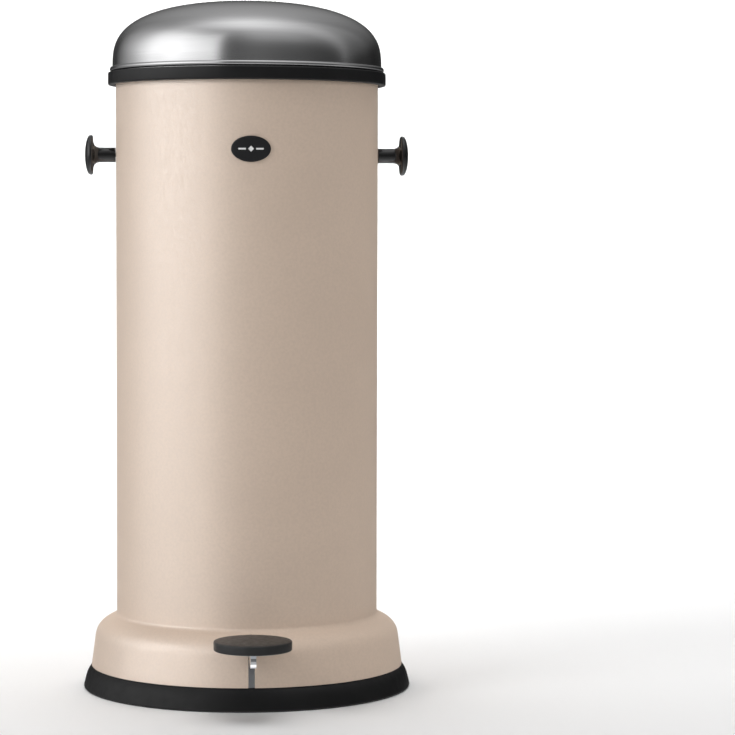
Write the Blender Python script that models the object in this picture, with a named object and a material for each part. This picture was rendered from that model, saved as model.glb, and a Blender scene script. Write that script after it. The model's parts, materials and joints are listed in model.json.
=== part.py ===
"""Pedal trash can: a straight can on a flared skirt and a rubber foot ring, with a domed lid, a pedal, the
linkage between them, and an inner bucket. Sizes are in metres, +Z is up and the pedal points along -Y.

Every piece is drawn about the can's upright axis. CAN_AXIS then moves the whole can along Y, so that the
origin is under the middle of its outline on the floor, pedal included.
"""

import math

import bmesh
import bpy
from mathutils import Matrix, Vector

MM = 0.001

# ---- Driving dimensions ----------------------------------------------------------------------------------

GAP = 0.3 * MM  # between two pieces that are fixed to each other
ROUND_STEPS = 40  # sides of the large turned pieces
MID_STEPS = 24  # sides of the pedal and the knobs
SMALL_STEPS = 10  # sides of pins, rods and rivets
# How near its axis a large turned piece comes, as a share of its radius
FLAT = math.cos(math.pi / ROUND_STEPS)

# Can body
BODY_R = 118.0 * MM
BODY_WALL = 0.8 * MM
BODY_TOP = 549.0 * MM
BEAD_R = 2.1 * MM  # curl along the top edge

# Skirt and foot ring
SKIRT_WALL = 1.0 * MM
SKIRT_FLARE = 22.9 * MM  # skirt over body, where it leaves the foot ring
SKIRT_DRAFT = 0.13  # lean of the skirt's side, radius per height
SKIRT_FOOT = 8.0 * MM
SHOULDER_START = 44.0 * MM
SHOULDER_TOP = 65.5 * MM
SHOULDER_POWER = 3.35
COLLAR = 1.5 * MM  # upright edge of the skirt round the body
RING_OUT = 7.7 * MM  # foot of the ring over the skirt
RING_H = 20.4 * MM
RING_DRAFT = 0.23
RING_ROUND = 3.8 * MM  # how far the top of the ring rolls in
RING_INNER = 7.0 * MM  # from the skirt's inner side to the ring's inner edge
SLOT_HALF = 3.2 * MM  # half width of the pedal slot

# Floor of the can
FLOOR_Z = 60.0 * MM
FLOOR_PLATE = 1.2 * MM
FLANGE = 1.5 * MM  # downturned edge of the floor plate

# Lid
LID_WALL = 0.8 * MM
LID_STEP = 3.0 * MM  # dome's radius over the body's
DOME_RISE = 58.5 * MM
DOME_SIDE_POWER = 2.352
DOME_TOP_POWER = 2.86
DOME_START = 11.0 * MM  # above the body's top edge
LIP_R = 2.4 * MM  # rolled lip round the foot of the dome
BAND_STEP = 7.0 * MM  # seal band's outer radius over the body's
BAND_DROP = 5.5 * MM  # how far the band hangs below the body's top edge
BAND_RISE = 5.8 * MM
BAND_SIDE_GAP = 1.0 * MM
BAND_SEAT = 2.7 * MM  # thickness of the flange that rests on the body

# Lid hinge and its crank
HINGE_OUT = 6.5 * MM  # hinge axis outside the band
HINGE_DROP = 6.0 * MM  # hinge axis below the body's top edge
LID_SWING = math.radians(84)
PIN_R = 2.0 * MM
PIN_PLAY = 0.3 * MM
BARREL_R = 4.5 * MM
BARREL_HALF = 13.6 * MM
EAR_R = 5.5 * MM
EAR_T = 2.0 * MM
EAR_GAP = 0.4 * MM
HINGE_PLATE = 2.0 * MM
HINGE_PLATE_H = 47.0 * MM
HINGE_PLATE_DROP = 8.5 * MM  # top of the plate below the band
HINGE_PLATE_ANGLE = math.radians(18)
LEAF_ANGLE = math.radians(16)
LEAF_H = 15.0 * MM
LEAF_HALF = 12.0 * MM
CRANK_R = 19.5 * MM
CRANK_ARM = 3.6 * MM  # half width of a crank cheek
CRANK_CHEEK = 2.0 * MM
CRANK_PIN_R = 1.75 * MM
CRANK_SLOT = 8.0 * MM  # half width of the body's rear slot
RIVET_R = 1.5 * MM
RIVET_HEAD_R = 3.0 * MM
RIVET_HEAD = 1.3 * MM

# Push rod
ROD_HALF = 5.0 * MM
ROD_T = 2.0 * MM
ROD_WALL_GAP = 1.2 * MM
ROD_HEAD_HALF = 2.0 * MM
ROD_PLAY = 0.85 * MM  # above and below the crank pin in the head's slot
GUIDE_H = 20.0 * MM
GUIDE_T = 1.4 * MM
GUIDE_GAP = 0.4 * MM

# Pedal lever
ARM_T = 5.0 * MM
ARM_BOTTOM = 44.6 * MM
ARM_TOP = 57.8 * MM
FULCRUM_Y = -25.0 * MM
FULCRUM_Z = 45.0 * MM
FULCRUM_R = 3.0 * MM
HUB_R = 11.0 * MM
BRACKET_T = 2.0 * MM
LEVER_PIN_Z = 24.0 * MM
LEVER_PIN_IN = 4.6 * MM  # lever pin inwards of the push rod
LEVER_END_R = 5.0 * MM
FORK_ROOM = 2.2 * MM  # over the lever's end, inside the push rod's fork
FORK_WEB = 2.0 * MM
PAD_R = 33.5 * MM
PAD_T = 9.7 * MM
PAD_OUT = 32.6 * MM  # pad's centre outside the skirt
PEDAL_PLATE = 1.5 * MM
PEDAL_SCREW_STEP = 14.0 * MM

# Damper
DAMPER_X = 20.0 * MM
DAMPER_R = 4.8 * MM
DAMPER_WALL = 0.8 * MM
DAMPER_LENGTH = 80.0 * MM
DAMPER_ROD_R = 1.5 * MM
DAMPER_STANDS = 10.0 * MM  # above the floor plate

# Handles
HANDLE_DROP = 68.0 * MM  # below the body's top edge
STEM_R = 6.7 * MM
STEM_LENGTH = 20.0 * MM
KNOB_R = 17.85 * MM
KNOB_T = 7.5 * MM
SCREW_R = 2.0 * MM
WASHER_T = 1.2 * MM

# Badge
BADGE_DROP = 65.0 * MM
BADGE_HALF_W = 17.2 * MM
BADGE_HALF_H = 11.3 * MM
BADGE_T = 1.6 * MM
BADGE_STEPS = 24

# Bucket and bail
BUCKET_WALL = 1.2 * MM
BUCKET_TAPER = 4.0 * MM
BUCKET_DROP = 34.0 * MM  # rim below the body's top edge
RIM_OUT = 2.0 * MM
RIM_H = 4.0 * MM
BAIL_GAP = 6.0 * MM  # from the rim to the middle of the bail
BAIL_WIRE_R = 1.75 * MM
BAIL_DROP = 15.0 * MM  # pivot below the rim
BAIL_REST = math.radians(10)  # how far the bail hangs below level
BAIL_EAR_T = 1.5 * MM
GRIP_R = 4.5 * MM
GRIP_ANGLE = math.radians(46)
BAIL_STEPS = 20

# ---- Places worked out from them -------------------------------------------------------------------------

BODY_IN = BODY_R - BODY_WALL
BODY_FOOT = FLOOR_Z - FLANGE
SKIRT_R = BODY_R + SKIRT_FLARE
RING_R = SKIRT_R + RING_OUT
PAD_Y = SKIRT_R + PAD_OUT
DOME_R = BODY_R + LID_STEP
DOME_Z = BODY_TOP + DOME_START
BAND_R = BODY_R + BAND_STEP
BAND_BOTTOM = BODY_TOP - BAND_DROP
BAND_TOP = BODY_TOP + BAND_RISE
SEAT_TOP = BODY_TOP + GAP + BAND_SEAT
HINGE_Y = BAND_R + HINGE_OUT
HINGE_Z = BODY_TOP - HINGE_DROP
HINGE_FOOT = BAND_BOTTOM - HINGE_PLATE_DROP - HINGE_PLATE_H
CRANK_Y = HINGE_Y - CRANK_R * math.cos(LID_SWING / 2)
CRANK_Z = HINGE_Z - CRANK_R * math.sin(LID_SWING / 2)
CRANK_INNERMOST_Y = HINGE_Y - CRANK_R
ROD_Y = BODY_IN - ROD_WALL_GAP - ROD_T / 2
LEVER_PIN_Y = ROD_Y - LEVER_PIN_IN
FORK_TOP = LEVER_PIN_Z + LEVER_END_R + FORK_ROOM + FORK_WEB
BUCKET_RIM_R = ROD_Y - ROD_T / 2 - 9.6 * MM
BUCKET_R = BUCKET_RIM_R - RIM_OUT
BUCKET_Z = FLOOR_Z + FLOOR_PLATE + GAP
RIM_Z = BODY_TOP - BUCKET_DROP
BAIL_R = BUCKET_RIM_R + BAIL_GAP
BAIL_Z = RIM_Z - BAIL_DROP
HANDLE_Z = BODY_TOP - HANDLE_DROP
BADGE_Z = BODY_TOP - BADGE_DROP
DAMPER_Y = LEVER_PIN_Y - 1.4 * MM
DAMPER_Z = FLOOR_Z + FLOOR_PLATE + DAMPER_STANDS
PAD_BOTTOM = ARM_TOP + GAP + PEDAL_PLATE + GAP
AXIS_Y = (PAD_Y + PAD_R - RING_R) / 2

CENTRES = {  # each moving group's joint, or the place that it slides from
    "can": Vector((0, 0, 0)),
    "lid": Vector((0, HINGE_Y, HINGE_Z)),
    "pedal": Vector((0, FULCRUM_Y, FULCRUM_Z)),
    "rod": Vector((0, ROD_Y, LEVER_PIN_Z)),
    "damper": Vector((DAMPER_X, DAMPER_Y, LEVER_PIN_Z)),
    "bucket": Vector((0, 0, BUCKET_Z)),
    "bail": Vector((0, 0, BAIL_Z)),
}

FINISHES = {  # colour, metallic, roughness
    "beige_paint": ((0.72, 0.65, 0.56), 0.0, 0.42),
    "brushed_steel": ((0.62, 0.60, 0.57), 1.0, 0.24),
    "bright_steel": ((0.66, 0.65, 0.63), 1.0, 0.12),
    "zinc_steel": ((0.52, 0.53, 0.54), 1.0, 0.38),
    "galvanised_steel": ((0.58, 0.60, 0.61), 1.0, 0.45),
    "black_rubber": ((0.022, 0.022, 0.023), 0.0, 0.62),
    "pad_rubber": ((0.055, 0.055, 0.058), 0.0, 0.66),
    "gloss_black": ((0.012, 0.012, 0.013), 0.0, 0.12),
    "badge_black": ((0.03, 0.03, 0.032), 0.2, 0.35),
    "white_plastic": ((0.72, 0.72, 0.70), 0.0, 0.4),
    "black_plastic": ((0.03, 0.03, 0.03), 0.0, 0.35),
    "bucket_plastic": ((0.10, 0.10, 0.105), 0.0, 0.48),
}


# ---- Scene, materials and objects ------------------------------------------------------------------------


def clear_scene():
    for obj in list(bpy.data.objects):
        bpy.data.objects.remove(obj, do_unlink=True)


def make_material(name):
    colour, metallic, roughness = FINISHES[name]
    material = bpy.data.materials.new(name)
    material.use_nodes = True
    shader = material.node_tree.nodes["Principled BSDF"]
    shader.inputs["Base Color"].default_value = (*colour, 1.0)
    shader.inputs["Metallic"].default_value = metallic
    shader.inputs["Roughness"].default_value = roughness
    return material


def make_centres():
    """The empties that the pieces hang from: the can's axis, and each joint's centre on it."""
    axis = bpy.data.objects.new("CAN_AXIS", None)
    axis.location = (0, AXIS_Y, 0)
    bpy.context.scene.collection.objects.link(axis)
    for name, place in CENTRES.items():
        empty = bpy.data.objects.new(name + "_centre", None)
        empty.parent = axis
        empty.location = place
        bpy.context.scene.collection.objects.link(empty)


def link_mesh(name, bm, group):
    """Makes an object from a mesh drawn about the can's axis, and hangs it from its group's centre."""
    bmesh.ops.remove_doubles(bm, verts=bm.verts, dist=1e-7)
    bmesh.ops.recalc_face_normals(bm, faces=bm.faces)
    bmesh.ops.translate(bm, verts=bm.verts, vec=-CENTRES[group])
    mesh = bpy.data.meshes.new(name)
    bm.to_mesh(mesh)
    bm.free()
    obj = bpy.data.objects.new(name, mesh)
    obj.parent = bpy.data.objects[group + "_centre"]
    bpy.context.scene.collection.objects.link(obj)
    return obj


def piece(name, bm, group, finish):
    obj = link_mesh(name, bm, group)
    obj.data.materials.append(bpy.data.materials[finish])
    obj.data.shade_smooth()
    obj.data.set_sharp_from_angle(angle=math.radians(35))
    return obj


def shape_with(obj, operation, *tools):
    """Joins each tool to the object, or cuts it out, with a Boolean modifier."""
    group = obj.parent.name.removesuffix("_centre")
    for number, tool in enumerate(tools, start=len(obj.modifiers)):
        helper = link_mesh(f"{obj.name}_tool_{number}", tool, group)
        helper.hide_render = True
        helper.display_type = "WIRE"
        modifier = obj.modifiers.new(helper.name, "BOOLEAN")
        modifier.operation = operation
        modifier.object = helper


def triangulate_cuts():
    """Splits the many-sided faces that Booleans leave, so that every piece stays closed."""
    for obj in bpy.data.objects:
        if obj.modifiers:
            weld = obj.modifiers.new("weld", "WELD")
            weld.merge_threshold = 0.002 * MM
            obj.modifiers.new("split", "TRIANGULATE")


def cut(obj, *tools):
    shape_with(obj, "DIFFERENCE", *tools)


def fuse(obj, *tools):
    shape_with(obj, "UNION", *tools)


# ---- Shapes ----------------------------------------------------------------------------------------------


def arc(centre, radius, start, end, steps):
    """Points of an arc, in degrees, from start to end, both included."""
    angles = [math.radians(start + (end - start) * i / steps) for i in range(steps + 1)]
    return [(centre[0] + radius * math.cos(a), centre[1] + radius * math.sin(a)) for a in angles]


def turned(profile, steps=ROUND_STEPS):
    """A closed profile of (radius, height) points turned all the way round the Z axis."""
    bm = bmesh.new()
    verts = [bm.verts.new((r, 0, z)) for r, z in profile]
    edges = [bm.edges.new(pair) for pair in zip(verts, verts[1:] + verts[:1])]
    bmesh.ops.spin(
        bm, geom=verts + edges, cent=(0, 0, 0), axis=(0, 0, 1), angle=math.tau, steps=steps, use_merge=True
    )
    bmesh.ops.remove_doubles(bm, verts=bm.verts, dist=1e-7)
    # The edges on the axis are left without faces.
    loose = [edge for edge in bm.edges if not edge.link_faces]
    bmesh.ops.delete(bm, geom=loose, context="EDGES")
    return bm


def turned_part_way(profile, angle, middle=math.pi / 2, steps=5):
    """The same, over an angle only, centred on the middle angle."""
    bm = bmesh.new()
    face = bm.faces.new([bm.verts.new((r, 0, z)) for r, z in profile])
    bmesh.ops.rotate(bm, verts=bm.verts, cent=(0, 0, 0), matrix=Matrix.Rotation(middle - angle / 2, 3, "Z"))
    geom = [face, *bm.edges, *bm.verts]
    bmesh.ops.spin(bm, geom=geom, cent=(0, 0, 0), axis=(0, 0, 1), angle=angle, steps=steps)
    return bm


def moved(bm, place=(0, 0, 0), turn=None):
    """The shape turned about the origin and then moved."""
    if turn:
        bmesh.ops.rotate(bm, verts=bm.verts, cent=(0, 0, 0), matrix=turn)
    bmesh.ops.translate(bm, verts=bm.verts, vec=place)
    return bm


def along_x(bm, side=1):
    """A shape turned about Z, laid with its Z axis along +X or, for side -1, along -X."""
    return moved(bm, turn=Matrix.Rotation(side * math.pi / 2, 3, "Y"))


def plate(outline, x_from, x_to):
    """An outline of (y, z) points with a thickness along X."""
    bm = bmesh.new()
    face = bm.faces.new([bm.verts.new((x_from, y, z)) for y, z in outline])
    made = bmesh.ops.extrude_face_region(bm, geom=[face])["geom"]
    verts = [item for item in made if isinstance(item, bmesh.types.BMVert)]
    bmesh.ops.translate(bm, verts=verts, vec=(x_to - x_from, 0, 0))
    return bm


def box(low, high):
    outline = [(low[1], low[2]), (high[1], low[2]), (high[1], high[2]), (low[1], high[2])]
    return plate(outline, low[0], high[0])


def cylinder(radius, low, high, steps=SMALL_STEPS):
    return turned([(0, low), (radius, low), (radius, high), (0, high)], steps)


def cross_rod(radius, x_from, x_to, y, z, steps=SMALL_STEPS):
    """A round rod along X."""
    return moved(along_x(cylinder(radius, x_from, x_to, steps)), (0, y, z))


def capsule(start, start_r, end, end_r, steps=6):
    """The outline round two circles of (y, z) centres."""
    heading = math.degrees(math.atan2(end[1] - start[1], end[0] - start[0]))
    far = arc(end, end_r, heading - 90, heading + 90, steps)
    return far + arc(start, start_r, heading + 90, heading + 270, steps)


def offset(points, distance):
    """The open run of points moved sideways, to the left of its direction."""
    moved_points = []
    for i, (r, z) in enumerate(points):
        before = points[max(i - 1, 0)]
        after = points[min(i + 1, len(points) - 1)]
        run, rise = after[0] - before[0], after[1] - before[1]
        length = math.hypot(run, rise)
        moved_points.append((r - rise / length * distance, z + run / length * distance))
    return moved_points


def radial(bm, angle, z):
    """A shape drawn along Z, laid along the radius at this angle and height."""
    lay = Matrix.Rotation(angle, 3, "Z") @ Matrix.Rotation(math.pi / 2, 3, "Y")
    return moved(bm, (0, 0, z), lay)


# ---- Can body --------------------------------------------------------------------------------------------

REAR = math.pi / 2
HINGE_RIVET_Z = [HINGE_FOOT + 6 * MM, HINGE_FOOT + 18 * MM]
HINGE_RIVETS = [(REAR + side * math.radians(6), z) for z in HINGE_RIVET_Z for side in (1, -1)]


def make_body():
    bead = (BODY_R - BEAD_R, BODY_TOP - BEAD_R)
    curl_end = -math.degrees(math.acos((BEAD_R - BODY_WALL) / BEAD_R))
    profile = [(BODY_IN, BODY_FOOT), (BODY_R, BODY_FOOT)] + arc(bead, BEAD_R, 0, 360 + curl_end, 8)
    shell = piece("body_shell", turned(profile), "can", "beige_paint")
    crank_slot = box(
        (-CRANK_SLOT, BODY_IN - 9 * MM, CRANK_Z - 12 * MM),
        (CRANK_SLOT, BODY_R + 9 * MM, BODY_TOP + 9 * MM),
    )
    handle_holes = cross_rod(SCREW_R + GAP, -BODY_R * 1.1, BODY_R * 1.1, 0, HANDLE_Z)
    cut(shell, crank_slot, handle_holes, *rivet_holes(HINGE_RIVETS, BODY_R))
    return shell


def rivet_holes(places, radius):
    drill = radius - 12 * MM, radius + 12 * MM
    return [radial(cylinder(RIVET_R + GAP, *drill), angle, z) for angle, z in places]


def skirt_radius(z):
    """The skirt's outer radius: a steep cone with a rounded shoulder."""
    cone = SKIRT_R - SKIRT_DRAFT * (z - RING_H)
    if z <= SHOULDER_START:
        return min(cone, SKIRT_R)
    share = (z - SHOULDER_START) / (SHOULDER_TOP - SHOULDER_START)
    top_cone = SKIRT_R - SKIRT_DRAFT * (SHOULDER_TOP - RING_H)
    drop = top_cone - (BODY_R + GAP + SKIRT_WALL)
    return cone - drop * share**SHOULDER_POWER


def make_skirt():
    heights = [SKIRT_FOOT, RING_H, SHOULDER_START]
    rise = SHOULDER_TOP - SHOULDER_START
    heights += [SHOULDER_START + rise * share for share in (0.3, 0.5, 0.65, 0.78, 0.89, 1)]
    outer = [(skirt_radius(z), z) for z in heights]
    outer.append((BODY_R + GAP + SKIRT_WALL, SHOULDER_TOP + COLLAR))
    skirt = piece("base_skirt", turned(outer + offset(outer, SKIRT_WALL)[::-1]), "can", "beige_paint")
    slot = box(
        (-SLOT_HALF, -SKIRT_R * 1.1, RING_H - 1.4 * MM),
        (SLOT_HALF, -BODY_R + 5 * MM, SHOULDER_TOP - 0.5 * MM),
    )
    cut(skirt, slot)


def make_ring():
    heights = [RING_H * share for share in (0.05, 0.25, 0.45, 0.62, 0.76, 0.88, 0.96, 1)]
    side = [(RING_R - RING_DRAFT * z - RING_ROUND * (z / RING_H) ** 5, z) for z in heights]
    groove_out = SKIRT_R + GAP
    groove_in = SKIRT_R - SKIRT_WALL - GAP
    inner = groove_in - RING_INNER
    side[-1] = (max(side[-1][0], groove_out + 0.2 * MM), RING_H)
    groove_floor = SKIRT_FOOT - GAP
    lip_top = groove_floor + 6 * MM
    profile = [(inner, 0), (side[0][0] - 0.8 * MM, 0), *side]
    profile += [(groove_out, RING_H), (groove_out, groove_floor)]
    profile += [(groove_in, groove_floor), (groove_in, lip_top), (inner, lip_top)]
    piece("base_ring", turned(profile), "can", "black_rubber")


def make_floor():
    edge = BODY_IN - GAP
    top = FLOOR_Z + FLOOR_PLATE
    profile = [(0, FLOOR_Z), (edge - FLOOR_PLATE, FLOOR_Z)]
    profile += [(edge - FLOOR_PLATE, BODY_FOOT), (edge, BODY_FOOT)]
    floor = piece("bottom_plate", turned(profile + [(edge, top), (0, top)]), "can", "zinc_steel")
    play = 0.6 * MM
    rod_low = (-ROD_HALF - play, ROD_Y - ROD_T / 2 - play, FLOOR_Z - 9 * MM)
    rod_high = (ROD_HALF + play, edge + 9 * MM, top + 9 * MM)
    damper = moved(cylinder(DAMPER_ROD_R + play, FLOOR_Z - 9 * MM, top + 9 * MM), (DAMPER_X, DAMPER_Y, 0))
    cut(floor, box(rod_low, rod_high), damper)


def make_fulcrum():
    inner = ARM_T / 2 + 0.7 * MM
    outer = inner + BRACKET_T
    top = FLOOR_Z - GAP
    web = top - BRACKET_T
    reach = HUB_R - 1 * MM
    foot = FULCRUM_Z - 7 * MM
    ends = FULCRUM_Y - reach, FULCRUM_Y + reach
    bracket = piece(
        "fulcrum_bracket",
        box((-outer, ends[0], foot), (outer, ends[1], top)),
        "can",
        "zinc_steel",
    )
    cut(
        bracket,
        box((-inner, ends[0] - 9 * MM, foot - 9 * MM), (inner, ends[1] + 9 * MM, web)),
        cross_rod(FULCRUM_R + GAP, -outer - 9 * MM, outer + 9 * MM, FULCRUM_Y, FULCRUM_Z),
    )
    end = outer + 2.5 * MM
    piece("fulcrum_pin", cross_rod(FULCRUM_R, -end, end, FULCRUM_Y, FULCRUM_Z), "can", "bright_steel")
    for name, side in (("left", -1), ("right", 1)):
        clip_from = outer + GAP
        ring = [(FULCRUM_R + GAP, clip_from), (FULCRUM_R + 2.4 * MM, clip_from)]
        ring += [(r, clip_from + 0.9 * MM) for r, _ in ring[::-1]]
        clip = moved(along_x(turned(ring, SMALL_STEPS), side), (0, FULCRUM_Y, FULCRUM_Z))
        piece(f"fulcrum_clip_{name}", clip, "can", "bright_steel")


def make_guides():
    """Keepers on the rear wall that hold the push rod upright."""
    inner = ROD_HALF + GUIDE_GAP
    outer = inner + 3.5 * MM
    front = ROD_Y - ROD_T / 2 - GUIDE_GAP
    back = math.sqrt((BODY_IN * FLAT) ** 2 - outer**2) - GAP
    span = BAIL_Z - FLOOR_Z
    for name, share in (("lower", 0.3), ("upper", 0.75)):
        low = FLOOR_Z + span * share
        body = box((-outer, front - GUIDE_T, low), (outer, back, low + GUIDE_H))
        guide = piece(f"rod_guide_{name}", body, "can", "white_plastic")
        cut(guide, box((-inner, front, low - 9 * MM), (inner, back + 9 * MM, low + GUIDE_H + 9 * MM)))


def make_damper_body():
    bore = DAMPER_R - DAMPER_WALL
    top = DAMPER_Z + DAMPER_LENGTH
    cup = [(bore, DAMPER_Z), (DAMPER_R, DAMPER_Z), (DAMPER_R, top - 1 * MM)]
    cup += [(DAMPER_R - 1 * MM, top), (0, top)]
    cup += [(0, top - 2 * MM), (bore, top - 2 * MM)]
    place = (DAMPER_X, DAMPER_Y, 0)
    piece("damper_cylinder", moved(turned(cup, SMALL_STEPS), place), "can", "black_plastic")
    hole = DAMPER_ROD_R + GAP
    seat = DAMPER_Z - GAP
    gland = [(hole, seat - 2 * MM), (DAMPER_R, seat - 2 * MM), (DAMPER_R, seat), (bore - GAP, seat)]
    gland += [(bore - GAP, seat + 5 * MM), (hole, seat + 5 * MM)]
    piece("damper_gland", moved(turned(gland, SMALL_STEPS), place), "can", "white_plastic")
    low = DAMPER_Z + DAMPER_LENGTH * 0.55
    ring = [(DAMPER_R + GAP, low), (DAMPER_R + GAP + 0.9 * MM, low)]
    ring += [(r, low + 9 * MM) for r, _ in ring[::-1]]
    piece("damper_clamp", moved(turned(ring, SMALL_STEPS), place), "can", "zinc_steel")


def make_hinge_base():
    inner, outer = BODY_R + GAP, BODY_R + GAP + HINGE_PLATE
    top = HINGE_FOOT + HINGE_PLATE_H
    profile = [(inner, HINGE_FOOT), (outer, HINGE_FOOT), (outer, top), (inner, top)]
    base = piece("hinge_base", turned_part_way(profile, HINGE_PLATE_ANGLE), "can", "zinc_steel")
    opening = CRANK_Z - 17 * MM
    cut(base, box((-9.5 * MM, inner - 9 * MM, opening), (9.5 * MM, outer + 9 * MM, top + 9 * MM)))
    ear_from = BARREL_HALF + EAR_GAP
    root = math.sqrt(inner**2 - (ear_from + EAR_T) ** 2) + 1.2 * MM
    for side in (1, -1):
        rounded = arc((HINGE_Y, HINGE_Z), EAR_R, -60, 180, 10)
        outline = [*rounded, (HINGE_Y - EAR_R, BAND_BOTTOM - 6 * MM)]
        outline += [(root, BAND_BOTTOM - 9 * MM), (root, opening)]
        fuse(base, plate(outline, side * ear_from, side * (ear_from + EAR_T)))
    drill = BARREL_HALF + 3.4 * MM
    pin_hole = cross_rod(PIN_R + PIN_PLAY, -30 * MM, 30 * MM, HINGE_Y, HINGE_Z)
    cut(base, pin_hole, *rivet_holes(HINGE_RIVETS, BODY_R))


def make_rivet(name, radius, inside, angle, z, group):
    """A rivet along the radius, from a head inside a wall to one outside it."""
    low, high = inside, radius
    profile = [(0, low - RIVET_HEAD), (RIVET_HEAD_R * 0.7, low - RIVET_HEAD)]
    profile += [(RIVET_HEAD_R, low), (RIVET_R, low)]
    profile += [(RIVET_R, high), (RIVET_HEAD_R, high)]
    profile += [(RIVET_HEAD_R * 0.7, high + RIVET_HEAD), (0, high + RIVET_HEAD)]
    piece(name, radial(turned(profile, SMALL_STEPS), angle, z), group, "bright_steel")


def make_hinge_rivets():
    outside = BODY_R + GAP + HINGE_PLATE + GAP
    # A flat head stands off a curved wall, further at its edge.
    inside = BODY_IN * FLAT - 0.2 * MM
    for number, (angle, z) in enumerate(HINGE_RIVETS, start=1):
        make_rivet(f"hinge_rivet_{number}", outside, inside, angle, z, "can")


def make_hinge_pin():
    end = BARREL_HALF + EAR_GAP + EAR_T + GAP
    head_r = PIN_R + 1.5 * MM
    profile = [(0, -end - 2.5 * MM), (PIN_R, -end - 2.5 * MM), (PIN_R, end), (head_r, end)]
    profile += [(head_r, end + 1 * MM), (PIN_R, end + 2 * MM), (0, end + 2 * MM)]
    place = (0, HINGE_Y, HINGE_Z)
    piece("hinge_pin", moved(along_x(turned(profile, SMALL_STEPS)), place), "can", "bright_steel")
    cap = [(PIN_R + GAP, end), (head_r, end), (head_r, end + 3 * MM)]
    cap += [(PIN_R, end + 4 * MM), (0, end + 4 * MM)]
    cap += [(0, end + 2.5 * MM + GAP), (PIN_R + GAP, end + 2.5 * MM + GAP)]
    piece("hinge_pin_cap", moved(along_x(turned(cap, SMALL_STEPS), -1), place), "can", "gloss_black")


def make_handles():
    root = BODY_R + GAP
    neck = root + STEM_LENGTH * 0.76
    knob = root + STEM_LENGTH
    bore = SCREW_R + GAP
    profile = [(0, neck), (bore, neck), (bore, root), (STEM_R, root), (STEM_R, neck)]
    profile += [(STEM_R + 1.2 * MM, neck + 2.6 * MM), (STEM_R + 4.3 * MM, knob)]
    profile += [(KNOB_R - 0.9 * MM, knob + 0.3 * MM), (KNOB_R, knob + 1.6 * MM)]
    profile += [(KNOB_R - 0.2 * MM, knob + 3.2 * MM)]
    edge = knob + 3.2 * MM
    swell = KNOB_T - 3.2 * MM
    dome = [(KNOB_R * math.cos(a), edge + swell * math.sin(a)) for a in (0.55, 1.0)]
    profile += [*dome, (0, knob + KNOB_T)]
    for name, side in (("right", 1), ("left", -1)):
        knob_shape = moved(along_x(turned(profile, MID_STEPS), side), (0, 0, HANDLE_Z))
        piece(f"handle_{name}", knob_shape, "can", "gloss_black")
        make_handle_screw(name, side, neck)


def make_handle_screw(name, side, bore_end):
    outside = math.sqrt(BODY_IN**2 - (SCREW_R + 2.5 * MM) ** 2) * FLAT - GAP
    inside = outside - WASHER_T
    ring = [(SCREW_R + GAP, inside), (SCREW_R + 2.5 * MM, inside)]
    ring += [(SCREW_R + 2.5 * MM, outside), (SCREW_R + GAP, outside)]
    washer = moved(along_x(turned(ring, SMALL_STEPS), side), (0, 0, HANDLE_Z))
    piece(f"handle_washer_{name}", washer, "can", "zinc_steel")
    head = inside - GAP
    head_r = SCREW_R * 1.9
    profile = [(0, head - 1.6 * MM), (head_r * 0.8, head - 1.6 * MM)]
    profile += [(head_r, head - 0.8 * MM), (head_r, head)]
    profile += [(SCREW_R, head), (SCREW_R, bore_end - 1 * MM), (0, bore_end - 1 * MM)]
    screw = moved(along_x(turned(profile, SMALL_STEPS), side), (0, 0, HANDLE_Z))
    piece(f"handle_screw_{name}", screw, "can", "bright_steel")


def make_badge():
    """A thin oval plate bent round the front of the body."""
    bm = bmesh.new()
    layers = []
    for share, depth in ((1, 0), (1, 0.7), (0.93, 1), (0.5, 1)):
        ring = []
        for i in range(BADGE_STEPS):
            angle = math.tau * i / BADGE_STEPS
            x = BADGE_HALF_W * share * math.cos(angle)
            radius = BODY_R + GAP + BADGE_T * depth
            place = (x, -math.sqrt(radius**2 - x**2), BADGE_Z + BADGE_HALF_H * share * math.sin(angle))
            ring.append(bm.verts.new(place))
        layers.append(ring)
    for near, far in zip(layers, layers[1:]):
        for i in range(BADGE_STEPS):
            bm.faces.new((near[i - 1], near[i], far[i], far[i - 1]))
    middle = bm.verts.new((0, -(BODY_R + GAP + BADGE_T), BADGE_Z))
    back = bm.verts.new((0, -(BODY_R + GAP), BADGE_Z))
    for i in range(BADGE_STEPS):
        bm.faces.new((layers[-1][i - 1], layers[-1][i], middle))
        bm.faces.new((layers[0][i], layers[0][i - 1], back))
    piece("badge", bm, "can", "badge_black")


# ---- Pedal -----------------------------------------------------------------------------------------------


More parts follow.
